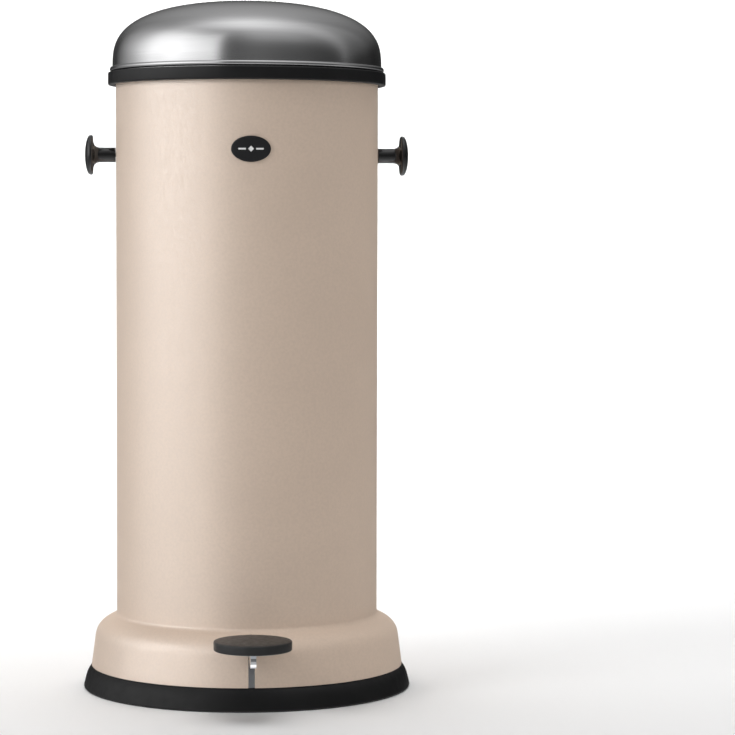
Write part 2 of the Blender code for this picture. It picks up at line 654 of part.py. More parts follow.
def make_pedal_arm():
    nose_y = -(PAD_Y + PAD_R * 0.52)
    nose_r = (ARM_TOP - ARM_BOTTOM) / 2
    rear = (LEVER_PIN_Y, LEVER_PIN_Z)
    slope = math.degrees(math.atan2(LEVER_PIN_Z - FULCRUM_Z, LEVER_PIN_Y - FULCRUM_Y))
    hub = (FULCRUM_Y, FULCRUM_Z)
    outline = arc((nose_y + nose_r, ARM_TOP - nose_r), nose_r, 90, 270, 8)
    outline += [(FULCRUM_Y - HUB_R * 1.8, ARM_BOTTOM)]
    outline += arc(hub, HUB_R, 225, 300, 4)
    outline += arc(rear, LEVER_END_R, slope - 90, slope + 90, 6)
    outline += arc(hub, HUB_R, 60, 120, 4)
    outline += [(FULCRUM_Y - HUB_R * 1.4, ARM_TOP)]
    arm = piece("pedal_arm", plate(outline, -ARM_T / 2, ARM_T / 2), "pedal", "bright_steel")
    fulcrum = cross_rod(FULCRUM_R + GAP, -9 * MM, 9 * MM, FULCRUM_Y, FULCRUM_Z)
    lever = cross_rod(PIN_R + GAP, -9 * MM, 9 * MM, LEVER_PIN_Y, LEVER_PIN_Z)
    cut(arm, fulcrum, lever, *pedal_screw_holes())


def pedal_screw_places():
    return [(0, -PAD_Y + side * PEDAL_SCREW_STEP, 0) for side in (-1, 1)]


def pedal_screw_holes():
    seat = ARM_TOP + GAP
    head = seat + PEDAL_PLATE - 1.1 * MM
    profile = [(0, ARM_TOP - 9 * MM), (1.7 * MM, ARM_TOP - 9 * MM)]
    profile += [(1.7 * MM, head - GAP), (3.2 * MM, head - GAP)]
    profile += [(3.2 * MM, seat + PEDAL_PLATE + 5 * MM), (0, seat + PEDAL_PLATE + 5 * MM)]
    return [moved(turned(profile, SMALL_STEPS), place) for place in pedal_screw_places()]


def make_pedal_top():
    low = ARM_TOP + GAP
    plate_r = PAD_R - 2.5 * MM
    disc = moved(cylinder(plate_r, low, low + PEDAL_PLATE, MID_STEPS), (0, -PAD_Y, 0))
    pedal_plate = piece("pedal_plate", disc, "pedal", "zinc_steel")
    cut(pedal_plate, *pedal_screw_holes())
    top = low + PAD_T
    recess = plate_r + GAP
    skirt = low + 0.4 * MM
    pad = [(0, PAD_BOTTOM), (recess, PAD_BOTTOM), (recess, skirt)]
    pad += [(PAD_R - 0.9 * MM, skirt), (PAD_R, skirt + 1.5 * MM)]
    pad += [(PAD_R, top - 3.2 * MM), (PAD_R - 1.2 * MM, top - 1.4 * MM), (PAD_R - 4 * MM, top - 0.6 * MM)]
    pad += [(PAD_R * 0.45, top - 0.1 * MM), (0, top)]
    piece("pedal_pad", moved(turned(pad, MID_STEPS), (0, -PAD_Y, 0)), "pedal", "pad_rubber")
    head = low + PEDAL_PLATE - 1.1 * MM
    screw = [(0, ARM_TOP - 8.4 * MM), (1.4 * MM, ARM_TOP - 8.4 * MM), (1.4 * MM, head), (2.9 * MM, head)]
    screw += [(2.9 * MM, low + PEDAL_PLATE), (0, low + PEDAL_PLATE)]
    for name, place in zip(("front", "rear"), pedal_screw_places()):
        piece(f"pedal_screw_{name}", moved(turned(screw, SMALL_STEPS), place), "pedal", "bright_steel")


def make_lever_pin():
    """The cross pin that lifts the push rod on one side and the damper's rod on the other."""
    short = ARM_T / 2 + 4.5 * MM
    pin = cross_rod(PIN_R, -short, DAMPER_X + 4 * MM, LEVER_PIN_Y, LEVER_PIN_Z)
    piece("lever_pin", pin, "pedal", "bright_steel")


# ---- Push rod and damper rod -----------------------------------------------------------------------------


def make_push_rod():
    head_foot = CRANK_Z - CRANK_PIN_R - ROD_PLAY - 3 * MM
    top = head_foot - 3.5 * MM
    low = (-ROD_HALF, ROD_Y - ROD_T / 2, FORK_TOP + GAP)
    piece("push_rod", box(low, (ROD_HALF, ROD_Y + ROD_T / 2, top)), "rod", "zinc_steel")
    make_rod_head(head_foot, top)
    make_rod_fork()


def make_rod_head(foot, strip_top):
    """A plate with an open slot that the crank pin rides in, on a tang in front of the strip."""
    slot_half = CRANK_PIN_R + ROD_PLAY
    front = CRANK_INNERMOST_Y - CRANK_PIN_R - 0.3 * MM
    slot_end = CRANK_Y + CRANK_PIN_R + 0.6 * MM
    back = slot_end + 2.5 * MM
    tang_back = ROD_Y - ROD_T / 2 - GAP
    tang_foot = strip_top - 18 * MM
    outline = [(front, tang_foot), (tang_back, tang_foot), (tang_back, foot), (back - 1.5 * MM, foot)]
    outline += [(back, foot + 1.5 * MM), (back, CRANK_Z + slot_half + 1.5 * MM)]
    outline += [(back - 1.5 * MM, CRANK_Z + slot_half + 3 * MM)]
    outline += [(front, CRANK_Z + slot_half + 3 * MM), (front, CRANK_Z + slot_half)]
    outline += [(slot_end, CRANK_Z + slot_half)]
    outline += [(slot_end, CRANK_Z - slot_half), (front, CRANK_Z - slot_half)]
    piece("push_rod_head", plate(outline, -ROD_HEAD_HALF, ROD_HEAD_HALF), "rod", "white_plastic")


def make_rod_fork():
    """A fork over the lever's end, slotted for the lever pin, that the push rod stands on."""
    inner = ARM_T / 2 + 0.5 * MM
    outer = inner + 2 * MM
    front = LEVER_PIN_Y - 6.5 * MM
    back = math.sqrt((BODY_IN * FLAT) ** 2 - outer**2) - GAP
    foot = LEVER_PIN_Z - 5.5 * MM
    fork = piece("push_rod_fork", box((-outer, front, foot), (outer, back, FORK_TOP)), "rod", "white_plastic")
    room = box((-inner, front - 9 * MM, foot - 9 * MM), (inner, back + 9 * MM, FORK_TOP - FORK_WEB))
    cut(fork, room, pin_slot(-outer - 9 * MM, outer + 9 * MM))


def pin_slot(x_from, x_to):
    """The slot along Y that a lever pin slides in as the lever tips."""
    radius = PIN_R + 0.35 * MM
    outline = capsule(
        (LEVER_PIN_Y - 1.6 * MM, LEVER_PIN_Z),
        radius,
        (LEVER_PIN_Y + 2.2 * MM, LEVER_PIN_Z),
        radius,
    )
    return plate(outline, x_from, x_to)


def make_damper_rod():
    foot_top = LEVER_PIN_Z + 6 * MM
    place = (DAMPER_X, DAMPER_Y, 0)
    piston = DAMPER_Z + DAMPER_LENGTH * 0.45
    rod = cylinder(DAMPER_ROD_R, foot_top + GAP, piston - GAP)
    piece("damper_rod", moved(rod, place), "damper", "bright_steel")
    disc = cylinder(DAMPER_R - DAMPER_WALL - GAP, piston, piston + 5 * MM)
    piece("damper_piston", moved(disc, place), "damper", "white_plastic")
    half = 1.8 * MM
    outline = [(LEVER_PIN_Y - 6.5 * MM, LEVER_PIN_Z - 5 * MM), (LEVER_PIN_Y + 6.5 * MM, LEVER_PIN_Z - 5 * MM)]
    outline += [(LEVER_PIN_Y + 6.5 * MM, foot_top), (LEVER_PIN_Y - 6.5 * MM, foot_top)]
    foot = piece("damper_foot", plate(outline, DAMPER_X - half, DAMPER_X + half), "damper", "white_plastic")
    cut(foot, pin_slot(DAMPER_X - 9 * MM, DAMPER_X + 9 * MM))


# ---- Lid -------------------------------------------------------------------------------------------------


def dome_point(angle, inset=0):
    """A point of the dome's side view, from its foot at angle 0 to its top at a quarter turn."""
    r = (DOME_R - inset) * math.cos(angle) ** (2 / DOME_SIDE_POWER)
    z = DOME_Z + (DOME_RISE - inset) * math.sin(angle) ** (2 / DOME_TOP_POWER)
    return r, z


def dome_radius(z, inset=0):
    share = min(max((z - DOME_Z) / (DOME_RISE - inset), 0), 1)
    return (DOME_R - inset) * (1 - share**DOME_TOP_POWER) ** (1 / DOME_SIDE_POWER)


def make_dome():
    edge = SEAT_TOP + GAP
    angles = [math.pi / 2 * share for share in (0.03, 0.1, 0.18, 0.27, 0.38, 0.5, 0.64, 0.8)]
    lip = arc((DOME_R, DOME_Z - LIP_R), LIP_R, -65, 90, 5)
    outer = [(DOME_R, edge), (DOME_R, DOME_Z - 2 * LIP_R), *lip]
    outer += [*(dome_point(a) for a in angles), (0, DOME_Z + DOME_RISE)]
    inner = [(DOME_R - LID_WALL, edge), (DOME_R - LID_WALL, DOME_Z)]
    inner += [dome_point(a, LID_WALL) for a in angles]
    inner += [(0, DOME_Z + DOME_RISE - LID_WALL)]
    dome = piece("lid_dome", turned(outer + inner[::-1]), "lid", "brushed_steel")
    cut(dome, *rivet_holes(lid_rivet_places(), DOME_R))


def lid_rivet_places():
    z = DOME_Z + 12.5 * MM
    return [(REAR + math.radians(step), z) for step in (-5.5, 0, 5.5)]


def make_seal_band():
    inner = BODY_R + BAND_SIDE_GAP
    seat_inner = BODY_R - 2 * BEAD_R + 0.4 * MM
    groove = DOME_R + GAP
    profile = [(inner, BAND_BOTTOM + 0.7 * MM), (inner + 0.7 * MM, BAND_BOTTOM)]
    profile += [(BAND_R - 1.3 * MM, BAND_BOTTOM)]
    profile += [(BAND_R, BAND_BOTTOM + 1.3 * MM), (BAND_R, BAND_TOP - 1 * MM), (BAND_R - 0.8 * MM, BAND_TOP)]
    profile += [(groove, BAND_TOP), (groove, SEAT_TOP), (seat_inner, SEAT_TOP), (seat_inner, BODY_TOP + GAP)]
    profile += [(inner, BODY_TOP + GAP)]
    piece("lid_seal_band", turned(profile), "lid", "black_rubber")


def make_lid_leaf():
    low, high = DOME_Z + 2 * MM, DOME_Z + 2 * MM + LEAF_H
    heights = [low, (low + high) / 2, high]
    face = [(dome_radius(z) + GAP, z) for z in heights]
    profile = face + [(r + HINGE_PLATE, z) for r, z in face[::-1]]
    leaf = piece("lid_hinge_leaf", turned_part_way(profile, LEAF_ANGLE), "lid", "zinc_steel")
    back = [(dome_radius(z, LID_WALL) - 3 * GAP, z) for z in heights]
    backing = turned_part_way(back + [(r - 1.2 * MM, z) for r, z in back[::-1]], LEAF_ANGLE)
    backing_plate = piece("lid_backing_plate", backing, "lid", "zinc_steel")
    pad_r = DOME_R + GAP
    arms = [(pad_r + 0.4 * MM, low + 5 * MM), (pad_r + 0.7 * MM, low + 1.6 * MM)]
    arms += [(BAND_R - 0.2 * MM, DOME_Z + 1.4 * MM), (BAND_R + 0.6 * MM, BAND_TOP + 1 * MM)]
    arms += [(BAND_R + 1.2 * MM, BODY_TOP)]
    arms += [(HINGE_Y - 3.4 * MM, HINGE_Z + 2 * MM), (HINGE_Y + 2 * MM, HINGE_Z + 3.4 * MM)]
    arms += [(BAND_R + 4.4 * MM, BAND_TOP - 1 * MM), (BAND_R + 3.4 * MM, DOME_Z)]
    arms += [(BAND_R + 1 * MM, low + 3 * MM)]
    arms += [(pad_r + HINGE_PLATE - 0.2 * MM, low + 5.6 * MM)]
    barrel = cross_rod(BARREL_R, -BARREL_HALF, BARREL_HALF, HINGE_Y, HINGE_Z)
    fuse(leaf, plate(arms, -LEAF_HALF, LEAF_HALF), barrel)
    cheek = capsule((HINGE_Y, HINGE_Z), CRANK_ARM, (CRANK_Y, CRANK_Z), CRANK_ARM)
    near = ROD_HEAD_HALF + 0.6 * MM
    for side in (1, -1):
        fuse(leaf, plate(cheek, side * near, side * (near + CRANK_CHEEK)))
    drill = BARREL_HALF + 3.4 * MM
    pin_hole = cross_rod(PIN_R + PIN_PLAY, -drill, drill, HINGE_Y, HINGE_Z)
    crank_hole = cross_rod(CRANK_PIN_R + GAP, -9 * MM, 9 * MM, CRANK_Y, CRANK_Z)
    cut(leaf, pin_hole, crank_hole, *rivet_holes(lid_rivet_places(), DOME_R))
    cut(backing_plate, *rivet_holes(lid_rivet_places(), DOME_R))
    make_crank_pin(near + CRANK_CHEEK + GAP)
    outside, inside = face[1][0] + HINGE_PLATE + 0.5 * MM, back[-1][0] - 1.2 * MM - GAP / 2
    for number, (angle, z) in enumerate(lid_rivet_places(), start=1):
        make_rivet(f"lid_rivet_{number}", outside, inside, angle, z, "lid")


def make_crank_pin(head):
    head_r = CRANK_PIN_R + 0.9 * MM
    end = head + 1.1 * MM
    profile = [(0, -end), (head_r, -end), (head_r, -head), (CRANK_PIN_R, -head), (CRANK_PIN_R, head)]
    profile += [(head_r, head), (head_r, end), (0, end)]
    pin = moved(along_x(turned(profile, SMALL_STEPS)), (0, CRANK_Y, CRANK_Z))
    piece("crank_pin", pin, "lid", "bright_steel")


# ---- Bucket and bail -------------------------------------------------------------------------------------


def make_bucket():
    low_r = BUCKET_R - BUCKET_TAPER
    base = BUCKET_Z
    outer = [(0, base), (low_r - 4 * MM, base), (low_r, base + 4 * MM), (BUCKET_R, RIM_Z - RIM_H - 0.5 * MM)]
    rim = [(BUCKET_RIM_R, RIM_Z - RIM_H), (BUCKET_RIM_R, RIM_Z - 0.8 * MM), (BUCKET_RIM_R - 0.8 * MM, RIM_Z)]
    rim += [(BUCKET_R - BUCKET_WALL, RIM_Z)]
    inner = [(low_r - BUCKET_WALL, base + 4.5 * MM), (low_r - 4.5 * MM, base + BUCKET_WALL)]
    inner += [(0, base + BUCKET_WALL)]
    bucket = piece("bucket", turned(outer + rim + inner), "bucket", "bucket_plastic")
    places = [rivet for middle in (0, math.pi) for rivet in ear_rivets(middle)]
    cut(bucket, *[radial(cylinder(1.5 * MM, BUCKET_R - 9 * MM, BUCKET_R + 9 * MM), a, z) for a, z in places])


def ear_rivets(middle):
    return [(middle + side * math.radians(4.6), BAIL_Z) for side in (-1, 1)]


def make_bail_ears():
    wall = BUCKET_R + GAP
    for name, middle in (("right", 0), ("left", math.pi)):
        profile = [(wall, BAIL_Z - 8 * MM), (wall + BAIL_EAR_T, BAIL_Z - 8 * MM)]
        profile += [(r, BAIL_Z + 8 * MM) for r, _ in profile[::-1]]
        ear_plate = turned_part_way(profile, math.radians(15), middle, 4)
        ear = piece(f"bucket_ear_{name}", ear_plate, "bucket", "galvanised_steel")
        boss = cylinder(BAIL_WIRE_R + 2.2 * MM, wall + 0.6 * MM, BAIL_R - BAIL_WIRE_R - 1.2 * MM)
        fuse(ear, radial(boss, middle, BAIL_Z))
        cut(ear, radial(cylinder(BAIL_WIRE_R + 0.3 * MM, wall - 5 * MM, BAIL_R + 5 * MM), middle, BAIL_Z))
        drill = wall - 9 * MM, wall + 9 * MM
        cut(ear, *[radial(cylinder(1.5 * MM, *drill), a, z) for a, z in ear_rivets(middle)])
        for side, (angle, z) in zip(("front", "rear"), ear_rivets(middle)):
            make_ear_rivet(f"ear_rivet_{name}_{side}", angle, z)


def make_ear_rivet(name, angle, z):
    inside = (BUCKET_R - BUCKET_WALL) * FLAT - 0.6 * MM
    outside = BUCKET_R + GAP + BAIL_EAR_T + GAP
    profile = [(0, inside - 0.9 * MM), (2.2 * MM, inside - 0.6 * MM), (2.2 * MM, inside), (1.2 * MM, inside)]
    profile += [(1.2 * MM, outside), (2.2 * MM, outside)]
    profile += [(2.2 * MM, outside + 0.6 * MM), (0, outside + 0.9 * MM)]
    piece(name, radial(turned(profile, SMALL_STEPS), angle, z), "bucket", "bright_steel")


def bail_point(angle):
    """A point of the resting bail, from its right pivot at angle 0 to its left one at a half turn."""
    reach = BAIL_R * math.sin(angle)
    return Vector((BAIL_R * math.cos(angle), -reach * math.cos(BAIL_REST), -reach * math.sin(BAIL_REST)))


def make_bail():
    """A round wire whose ends turn in through the bucket's ears, and a tube to hold it by."""
    stub = Vector((BUCKET_R + GAP + 1 * MM, 0, 0))
    bow = [bail_point(math.pi * i / BAIL_STEPS) for i in range(1, BAIL_STEPS)]
    turn_in = [stub, Vector((BAIL_R - 1.6 * MM, 0, 0))]
    turn_in += [BAIL_R / bow[0].length * bow[0] * 0.14 + bail_point(0) * 0.855]
    points = turn_in + bow + [Vector((-p.x, p.y, p.z)) for p in reversed(turn_in)]
    curve = bpy.data.curves.new("bail_wire", "CURVE")
    curve.dimensions = "3D"
    curve.bevel_depth = BAIL_WIRE_R
    curve.bevel_resolution = 2
    curve.use_fill_caps = True
    spline = curve.splines.new("POLY")
    spline.points.add(len(points) - 1)
    for slot, point in zip(spline.points, points):
        slot.co = (*point, 1)
    curve.materials.append(bpy.data.materials["bright_steel"])
    wire = bpy.data.objects.new("bail_wire", curve)
    wire.parent = bpy.data.objects["bail_centre"]
    bpy.context.scene.collection.objects.link(wire)
    make_grip()


def make_grip():
    """A ring of quads swept round the pivot line's middle, over the middle of the bow."""
    bm = bmesh.new()
    steps = SMALL_STEPS
    rings = []
    for radius in (BAIL_WIRE_R + 0.5 * MM, GRIP_R):
        turns = [math.tau * i / steps for i in range(steps)]
        points = [(BAIL_R + radius * math.cos(t), 0, radius * math.sin(t)) for t in turns]
        rings.append([bm.verts.new(point) for point in points])
    inner, outer = rings
    faces = [bm.faces.new((inner[i - 1], inner[i], outer[i], outer[i - 1])) for i in range(steps)]
    start = Matrix.Rotation(-math.pi / 2 - GRIP_ANGLE / 2, 3, "Z")
    bmesh.ops.rotate(bm, verts=bm.verts, cent=(0, 0, 0), matrix=start)
    geom = faces + list(bm.edges) + list(bm.verts)
    bmesh.ops.spin(bm, geom=geom, cent=(0, 0, 0), axis=(0, 0, 1), angle=GRIP_ANGLE, steps=6)
    piece("bail_grip", moved(bm, (0, 0, BAIL_Z), Matrix.Rotation(BAIL_REST, 3, "X")), "bail", "black_plastic")


def main():
    clear_scene()
    for name in FINISHES:
        make_material(name)
    make_centres()
    make_body()
    make_skirt()
    make_ring()
    make_floor()
    make_fulcrum()
    make_guides()
    make_damper_body()
    make_hinge_base()
    make_hinge_rivets()
    make_hinge_pin()
    make_handles()
    make_badge()
    make_pedal_arm()
    make_pedal_top()
    make_lever_pin()
    make_push_rod()
    make_damper_rod()
    make_dome()
    make_seal_band()
    make_lid_leaf()
    make_bucket()
    make_bail_ears()
    make_bail()
    triangulate_cuts()


main()
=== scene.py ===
"""The pedal bin's looks, built on its CAD frame. Lengths are in millimetres until put() scales them."""

import json
import math

import bmesh
import bpy
from mathutils import Matrix, Vector

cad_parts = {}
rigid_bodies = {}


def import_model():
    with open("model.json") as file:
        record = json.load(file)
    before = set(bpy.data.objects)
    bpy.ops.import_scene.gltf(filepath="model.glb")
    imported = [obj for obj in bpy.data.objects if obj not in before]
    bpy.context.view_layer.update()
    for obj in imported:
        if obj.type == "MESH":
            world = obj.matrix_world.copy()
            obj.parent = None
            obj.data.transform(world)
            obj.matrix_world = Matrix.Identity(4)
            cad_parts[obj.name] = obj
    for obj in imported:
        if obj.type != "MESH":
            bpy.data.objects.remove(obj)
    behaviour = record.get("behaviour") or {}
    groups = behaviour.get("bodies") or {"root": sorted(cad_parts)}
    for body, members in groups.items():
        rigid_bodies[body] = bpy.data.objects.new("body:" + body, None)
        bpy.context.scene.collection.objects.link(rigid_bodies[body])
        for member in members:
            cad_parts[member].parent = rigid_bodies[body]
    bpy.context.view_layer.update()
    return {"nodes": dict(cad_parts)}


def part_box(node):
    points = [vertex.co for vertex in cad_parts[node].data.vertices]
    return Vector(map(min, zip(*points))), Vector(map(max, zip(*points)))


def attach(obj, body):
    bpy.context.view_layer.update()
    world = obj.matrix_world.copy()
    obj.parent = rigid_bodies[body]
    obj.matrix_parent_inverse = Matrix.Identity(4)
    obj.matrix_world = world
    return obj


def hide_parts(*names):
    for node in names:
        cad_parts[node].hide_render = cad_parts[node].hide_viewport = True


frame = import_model()

MM = 0.001
AROUND = 256  # steps round a large turned piece
NODES = frame["nodes"]


def centre(node):
    low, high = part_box(node)
    return (low + high) / 2


def outer_radius(node):
    """A turned node's largest radius, in millimetres."""
    low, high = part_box(node)
    return (high.x - low.x) / 2 / MM


AXIS_Y = centre("body_shell").y
BODY_R = outer_radius("body_shell")
BODY_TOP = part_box("body_shell")[1].z / MM
BODY_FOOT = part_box("body_shell")[0].z / MM
RING_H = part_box("base_ring")[1].z / MM
SKIRT_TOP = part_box("base_skirt")[1].z / MM
SKIRT_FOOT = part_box("base_skirt")[0].z / MM
DOME_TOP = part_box("lid_dome")[1].z / MM
BAND_LOW, BAND_HIGH = (corner.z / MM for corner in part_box("lid_seal_band"))


# ---- Materials ----------------------------------------------------------------------------------


class Shader:
    """A material under construction: its Principled node and short ways to wire nodes to it."""

    def __init__(self, name, colour, roughness, **sockets):
        self.material = bpy.data.materials.new(name)
        self.material.use_nodes = True
        self.tree = self.material.node_tree
        self.main = self.tree.nodes["Principled BSDF"]
        self.main.inputs["Base Color"].default_value = (*colour, 1)
        self.main.inputs["Roughness"].default_value = roughness
        for key, value in sockets.items():
            self.main.inputs[key.replace("_", " ")].default_value = value
        self.place = self.node("ShaderNodeTexCoord").outputs["Object"]

    def node(self, kind, inputs=(), **settings):
        made = self.tree.nodes.new(kind)
        for key, value in settings.items():
            setattr(made, key, value)
        for key, value in dict(inputs).items():
            if isinstance(value, bpy.types.NodeSocket):
                self.tree.links.new(value, made.inputs[key])
            else:
                made.inputs[key].default_value = value
        return made

    def maths(self, operation, *values):
        return self.node("ShaderNodeMath", dict(enumerate(values)), operation=operation).outputs[0]

    def noise(self, scale, detail=3, place=None):
        """Noise that is even across the whole material, from 0 to 1."""
        inputs = {"Vector": place or self.place, "Scale": scale, "Detail": detail}
        return self.node("ShaderNodeTexNoise", inputs).outputs["Fac"]

    def spread(self, value, low, high, start=0.3, end=0.7):
        inputs = {"Value": value, "From Min": start, "From Max": end, "To Min": low, "To Max": high}
        return self.node("ShaderNodeMapRange", inputs).outputs["Result"]

    def blend_colours(self, share, one, other):
        mix = self.node("ShaderNodeMix", data_type="RGBA")
        for socket, colour in ((mix.inputs[6], one), (mix.inputs[7], other)):
            if isinstance(colour, bpy.types.NodeSocket):
                self.tree.links.new(colour, socket)
            else:
                socket.default_value = (*colour, 1)
        self.tree.links.new(share, mix.inputs[0])
        return mix.outputs[2]

    def wire(self, value, socket):
        self.tree.links.new(value, self.main.inputs[socket])

    def bump(self, height, depth, under=None):
        """Adds relief of the given depth in millimetres, over any that is there already."""
        inputs = {"Height": height, "Distance": depth * MM, "Strength": 1.0}
        if under is not None:
            inputs["Normal"] = under
        normal = self.node("ShaderNodeBump", inputs).outputs["Normal"]
        self.wire(normal, "Normal")
        return normal


def tinted(colour, share):
    return tuple(channel * share for channel in colour)


def even_finish(name, colour, roughness, mottle=(40, 0.05), grain=(900, 0.02), uneven=0.06, **sockets):
    """A finish with a soft mottle in its colour, a fine grain in its surface and an uneven gloss."""
    shader = Shader(name, colour, roughness, **sockets)
    scale, amount = mottle
    share = shader.spread(shader.noise(scale, 5), 0, 1)
    darker, paler = tinted(colour, 1 - amount), tinted(colour, 1 + amount)
    shader.wire(shader.blend_colours(share, darker, paler), "Base Color")
    scale, depth = grain
    shader.bump(shader.noise(scale, 4), depth)
    gloss = shader.noise(mottle[0] * 3, 4)
    shader.wire(shader.spread(gloss, roughness - uneven, roughness + uneven), "Roughness")
    return shader.material


def powder_coat():
    """Beige powder coat: an orange-peel grain with paler and darker specks."""
    base = (0.615, 0.486, 0.388)
    shader = Shader("powder_coat", base, 0.5, Specular_IOR_Level=0.5)
    cloud = shader.spread(shader.noise(14, 6), 0, 1)
    colour = shader.blend_colours(cloud, tinted(base, 0.975), tinted(base, 1.02))
    speck = shader.spread(shader.noise(420, 6), 0, 1, 0.36, 0.62)
    dark = shader.blend_colours(cloud, tinted(base, 0.93), tinted(base, 0.96))
    colour = shader.blend_colours(speck, dark, colour)
    shader.wire(colour, "Base Color")
    peel = shader.bump(shader.noise(260, 2), 0.05)
    shader.bump(shader.noise(1100, 4), 0.035, peel)
    shader.wire(shader.spread(speck, 0.5, 0.62, 0, 1), "Roughness")
    return shader.material


def spun_steel(name, tint, roughness, centre_y):
    """Satin steel polished on a lathe: fine rings round the axis, with highlights stretched across them."""
    shader = Shader(name, tint, roughness, Metallic=1.0, Anisotropic=0.25)
    parts = shader.node("ShaderNodeSeparateXYZ", {0: shader.place}).outputs
    depth = shader.maths("SUBTRACT", parts[1], centre_y)
    squares = shader.maths("POWER", parts[0], 2.0), shader.maths("POWER", depth, 2.0)
    across = shader.maths("SQRT", shader.maths("ADD", *squares))
    turn = shader.maths("MULTIPLY", shader.maths("ARCTAN2", depth, parts[0]), 0.004)
    rings = shader.node("ShaderNodeCombineXYZ", {0: across, 1: turn, 2: parts[2]}).outputs[0]
    fine = shader.noise(2600, 3, rings)
    shader.bump(fine, 0.0007)
    haze = shader.spread(shader.noise(9, 4), roughness - 0.02, roughness + 0.02)
    shader.wire(shader.maths("ADD", haze, shader.spread(fine, -0.012, 0.012)), "Roughness")
    share = shader.spread(shader.noise(700, 3, rings), 0, 1)
    shader.wire(shader.blend_colours(share, tinted(tint, 0.98), tinted(tint, 1.02)), "Base Color")
    tangent = shader.node("ShaderNodeTangent", direction_type="RADIAL", axis="Z").outputs[0]
    shader.wire(tangent, "Tangent")
    return shader.material


def galvanised():
    """Zinc plate with the patchwork of crystals that hot dipping leaves."""
    shader = Shader("galvanised", (0.5, 0.52, 0.54), 0.4, Metallic=1.0)
    cells = shader.node("ShaderNodeTexVoronoi", {"Vector": shader.place, "Scale": 130}, feature="F1")
    patch = shader.node("ShaderNodeSeparateColor", {0: cells.outputs["Color"]}).outputs[0]
    shader.wire(shader.blend_colours(patch, (0.42, 0.44, 0.46), (0.62, 0.64, 0.66)), "Base Color")
    shader.wire(shader.spread(patch, 0.32, 0.5, 0, 1), "Roughness")
    shader.bump(shader.noise(500, 3), 0.01)
    return shader.material


def lever_steel_and_shade():
    """The lever's polished steel nose, and painted shade on the rest of it: from just inside the skirt the
    lever turns near black and rough, standing for the shade in there.
    """
    shader = Shader("lever_steel_and_shade", (0.75, 0.76, 0.78), 0.12, Metallic=1.0)
    depth = shader.node("ShaderNodeSeparateXYZ", {0: shader.place}).outputs[1]
    grain = shader.noise(80, 4)
    wander = shader.maths("ADD", depth, shader.spread(grain, -0.001, 0.001))
    # Painted shade: from just inside the skirt, the lever's colour goes near black where the skirt shades it.
    inside = shader.spread(wander, 0, 1, LEVER_SHADE_FROM - 0.003, LEVER_SHADE_FROM + 0.003)
    bright = shader.blend_colours(grain, (0.7, 0.71, 0.73), (0.82, 0.83, 0.85))
    shader.wire(shader.blend_colours(inside, bright, (0.012, 0.012, 0.013)), "Base Color")
    shader.wire(shader.spread(inside, 0.12, 0.6, 0, 1), "Roughness")
    shader.bump(shader.noise(1500, 3), 0.004)
    return shader.material


# Where the lever's painted shade begins: 12 mm in front of the body's wall, inside the skirt.
LEVER_SHADE_FROM = AXIS_Y - (BODY_R + 12) * MM
FINISHES = {
    "body_paint": powder_coat(),
    "lid_steel": spun_steel("spun_steel", (0.6, 0.6, 0.605), 0.2, AXIS_Y),
    "bright_steel": even_finish(
        "bright_steel", (0.72, 0.73, 0.75), 0.12, (60, 0.04), (1500, 0.004), 0.04, Metallic=1.0,
    ),
    "zinc_steel": even_finish(
        "zinc_steel", (0.55, 0.57, 0.6), 0.34, (90, 0.08), (700, 0.01), 0.08, Metallic=1.0,
    ),
    "galvanised_steel": galvanised(),
    "foot_rubber": even_finish(
        "foot_rubber", (0.006, 0.006, 0.0063), 0.46, (50, 0.14), (1300, 0.02), 0.06,
        Specular_IOR_Level=0.28,
    ),
    "band_rubber": even_finish(
        "band_rubber", (0.007, 0.007, 0.0075), 0.38, (50, 0.12), (1300, 0.015), 0.05,
        Specular_IOR_Level=0.35,
    ),
    "pad_rubber": even_finish("pad_rubber", (0.016, 0.0163, 0.017), 0.46, (70, 0.14), (1500, 0.025), 0.06),
    "knob_gloss": even_finish(
        "knob_gloss", (0.006, 0.006, 0.0065), 0.14, (30, 0.1), (700, 0.003), 0.03, Coat_Weight=0.4,
    ),
    "badge_black": even_finish("badge_black", (0.010, 0.010, 0.011), 0.33, (80, 0.1), (1500, 0.006), 0.05),
    "white_plastic": even_finish("white_plastic", (0.72, 0.72, 0.7), 0.42, (60, 0.03), (1100, 0.012), 0.06),
    "black_plastic": even_finish(
        "black_plastic", (0.018, 0.018, 0.019), 0.38, (60, 0.1), (1100, 0.012), 0.06,
    ),
    "bucket_plastic": even_finish(
        "bucket_plastic", (0.035, 0.036, 0.038), 0.45, (40, 0.1), (900, 0.02), 0.06,
    ),
}
EMBLEM_WHITE = even_finish("emblem_white", (0.8, 0.8, 0.8), 0.4, (200, 0.03), (1800, 0.004), 0.05)


# ---- Shapes -------------------------------------------------------------------------------------


def arc(middle, radius, start, end, steps):
    """Points of an arc in the profile's plane; the angles are in degrees."""
    turns = [math.radians(start + (end - start) * i / steps) for i in range(steps + 1)]
    return [(middle[0] + radius * math.cos(t), middle[1] + radius * math.sin(t)) for t in turns]


def soften(points, steps=5):
    """Rounds each corner (r, z, size) of a closed outline; a corner with no size stays as it is."""
    done = []
    for i, point in enumerate(points):
        size = point[2] if len(point) > 2 else 0
        here = Vector(point[:2])
        if size == 0:
            done.append(tuple(here))
            continue
        before = Vector(points[i - 1][:2]) - here
        after = Vector(points[(i + 1) % len(points)][:2]) - here
        one = here + before.normalized() * min(size, before.length * 0.49)
        two = here + after.normalized() * min(size, after.length * 0.49)
        for step in range(steps + 1):
            t = step / steps
            done.append(tuple(one * (1 - t) ** 2 + here * (2 * t * (1 - t)) + two * t * t))
    return done


